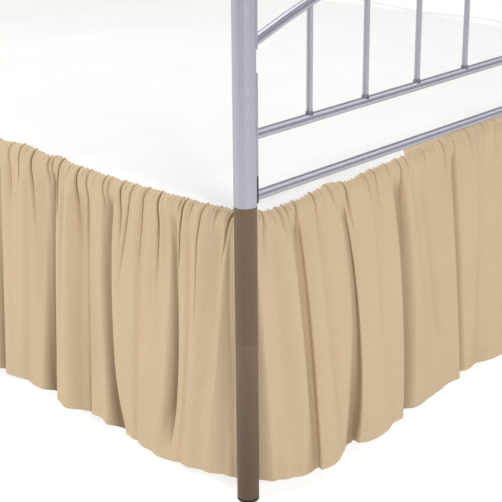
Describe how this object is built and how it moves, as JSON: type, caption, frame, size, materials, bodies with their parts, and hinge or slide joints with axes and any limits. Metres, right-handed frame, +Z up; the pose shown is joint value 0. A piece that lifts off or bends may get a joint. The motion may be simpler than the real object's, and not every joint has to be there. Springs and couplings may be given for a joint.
{
  "type": "bed skirt on a metal bed frame",
  "caption": "Gathered beige bed skirt with split corners, hanging from the box spring of a plain tube bed almost to the floor.",
  "frame": {"origin": "on the floor under the middle of the whole bed and skirt", "axes": "+Z up, +Y from the foot of the bed to its head, +X across the bed"},
  "size_m": [1.621, 2.177, 1.219],
  "materials": {
    "skirt_cloth": "matt plain-weave beige cotton blend",
    "deck_cloth": "matt white plain weave",
    "box_ticking": "matt pale ticking",
    "silver_paint": "satin silver powder coat",
    "leg_paint": "satin brown powder coat"
  },
  "bodies": {
    "root": {"bearer_1": "silver_paint", "bearer_2": "silver_paint", "bearer_3": "silver_paint", "box_spring": "box_ticking", "deck": "deck_cloth", "foot_arch": "silver_paint", "foot_facing": "skirt_cloth", "foot_left_hook": "silver_paint", "foot_left_leg": "leg_paint", "foot_left_lower_strip": "silver_paint", "foot_left_post": "silver_paint", "foot_left_upper_strip": "silver_paint", "foot_lower_rail": "silver_paint", "foot_middle_rail": "silver_paint", "foot_right_hook": "silver_paint", "foot_right_leg": "leg_paint", "foot_right_lower_strip": "silver_paint", "foot_right_post": "silver_paint", "foot_right_upper_strip": "silver_paint", "foot_spindle_1": "silver_paint", "foot_spindle_10": "silver_paint", "foot_spindle_2": "silver_paint", "foot_spindle_3": "silver_paint", "foot_spindle_4": "silver_paint", "foot_spindle_5": "silver_paint", "foot_spindle_6": "silver_paint", "foot_spindle_7": "silver_paint", "foot_spindle_8": "silver_paint", "foot_spindle_9": "silver_paint", "head_arch": "silver_paint", "head_left_hook": "silver_paint", "head_left_leg": "leg_paint", "head_left_lower_strip": "silver_paint", "head_left_post": "silver_paint", "head_left_upper_strip": "silver_paint", "head_lower_rail": "silver_paint", "head_middle_rail": "silver_paint", "head_right_hook": "silver_paint", "head_right_leg": "leg_paint", "head_right_lower_strip": "silver_paint", "head_right_post": "silver_paint", "head_right_upper_strip": "silver_paint", "head_spindle_1": "silver_paint", "head_spindle_10": "silver_paint", "head_spindle_2": "silver_paint", "head_spindle_3": "silver_paint", "head_spindle_4": "silver_paint", "head_spindle_5": "silver_paint", "head_spindle_6": "silver_paint", "head_spindle_7": "silver_paint", "head_spindle_8": "silver_paint", "head_spindle_9": "silver_paint", "left_side_rail": "silver_paint", "right_side_rail": "silver_paint", "skirt_foot": "skirt_cloth", "skirt_left": "skirt_cloth", "skirt_right": "skirt_cloth"}
  },
  "joints": []
}
